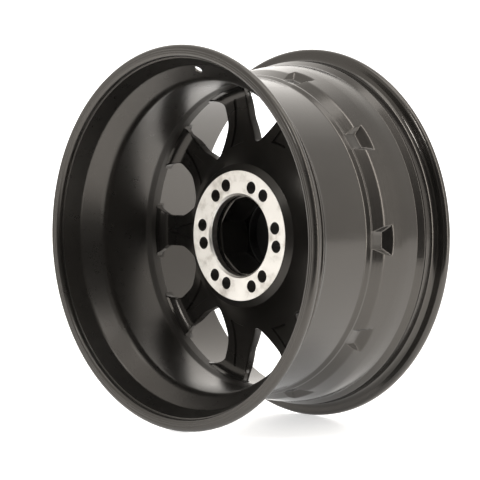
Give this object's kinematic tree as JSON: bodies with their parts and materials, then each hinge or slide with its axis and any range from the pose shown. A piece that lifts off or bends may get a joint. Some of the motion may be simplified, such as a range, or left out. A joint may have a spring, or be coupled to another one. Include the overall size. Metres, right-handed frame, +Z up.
{
  "type": "aluminium wheel",
  "caption": "Cast aluminium truck wheel in satin black with a bell-shaped spoked disc, tapered barrel pockets, a bare machined hub face, a pilot bore and two lug circles.",
  "frame": {"origin": "on the wheel axis, midway between the two rim flanges", "axes": "+Y along the wheel axis towards the street side, -Y towards the vehicle's hub, +Z up with the valve hole at the top, +X to the right seen from the hub side"},
  "size_m": [0.4955, 0.2534, 0.4956],
  "materials": {
    "casting": "satin black coating, bare machined hub face",
    "cap": "matt black"
  },
  "bodies": {
    "root": {"wheel": "casting", "center_cap": "cap"}
  },
  "joints": []
}
